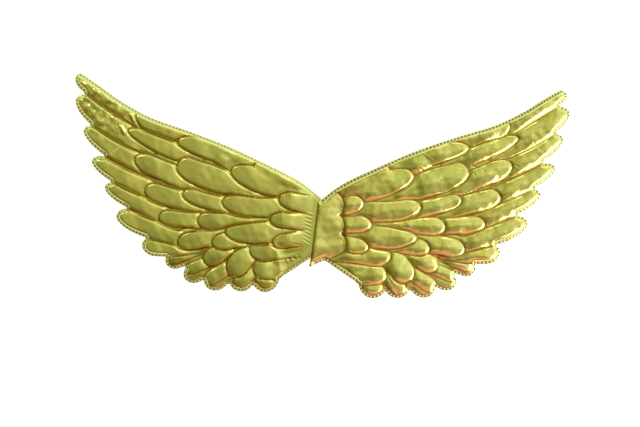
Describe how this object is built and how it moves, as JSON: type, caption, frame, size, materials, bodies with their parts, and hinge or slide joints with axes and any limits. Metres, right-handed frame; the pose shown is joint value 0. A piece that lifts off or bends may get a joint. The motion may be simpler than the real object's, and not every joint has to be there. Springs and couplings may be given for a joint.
{
  "type": "costume wings",
  "caption": "Gold padded costume wings: feather-embossed foil panels, lapped and sewn together at the root, lying flat on their back.",
  "frame": {"origin": "middle of the object's box, on the surface that the wings lie on", "axes": "+X along the span towards the wing whose root laps over the other, +Y towards the wing tips, +Z out of the padded front"},
  "size_m": [0.5706, 0.26, 0.0094],
  "materials": {
    "gold_foil": "glossy gold foil laminated on cloth, pressed over soft foam",
    "gold_thread": "shiny gold edging thread"
  },
  "bodies": {
    "root": {"left_wing": "gold_foil", "right_wing": "gold_foil"}
  },
  "joints": []
}
